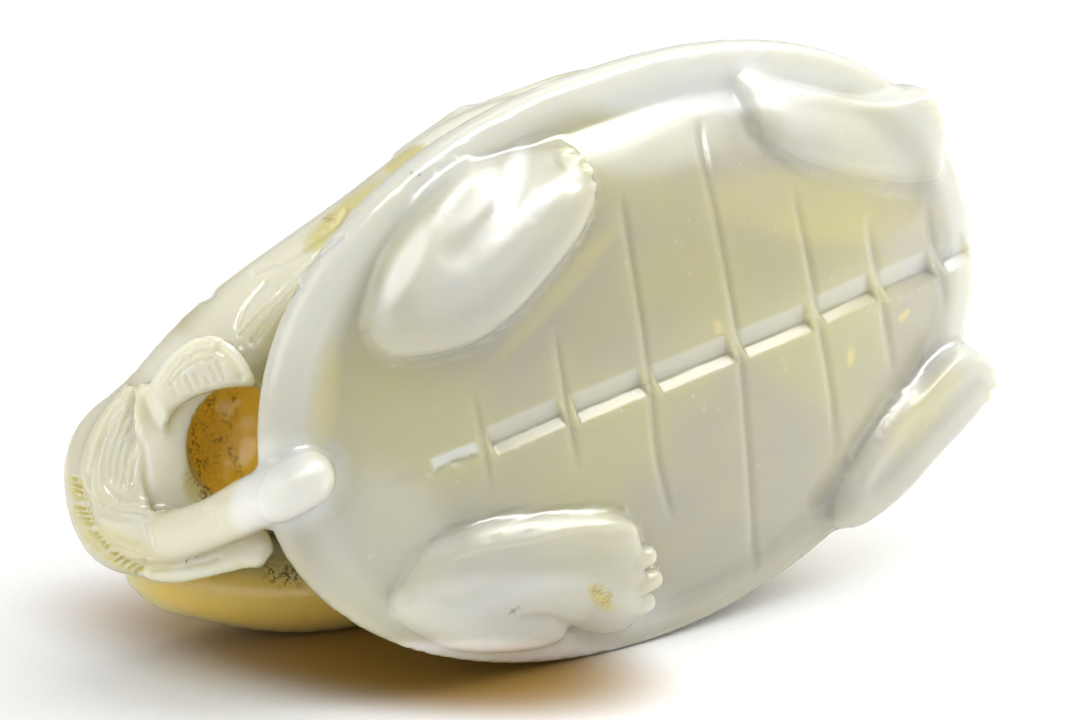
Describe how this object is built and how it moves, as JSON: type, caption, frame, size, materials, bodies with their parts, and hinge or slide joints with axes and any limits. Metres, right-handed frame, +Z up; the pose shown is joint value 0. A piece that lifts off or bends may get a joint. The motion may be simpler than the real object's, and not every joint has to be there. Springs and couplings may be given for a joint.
{
  "type": "jade crane and turtle carving",
  "caption": "Small pale green stone carving in the round of a turtle with a crane on its back, belly plates and feet in relief, lying on its edge.",
  "frame": {"origin": "middle of the bounding box in plan, at the height of the surface that the carving lies on", "axes": "+Z up; +X towards the turtle's head, along the length of the carving; the turtle's belly faces -Y and its back, with the crane, faces +Y"},
  "size_m": [0.0652, 0.0278, 0.0403],
  "materials": {
    "crane_and_turtle_carving": "polished"
  },
  "bodies": {
    "root": {"crane_and_turtle_carving": "crane_and_turtle_carving"}
  },
  "joints": []
}
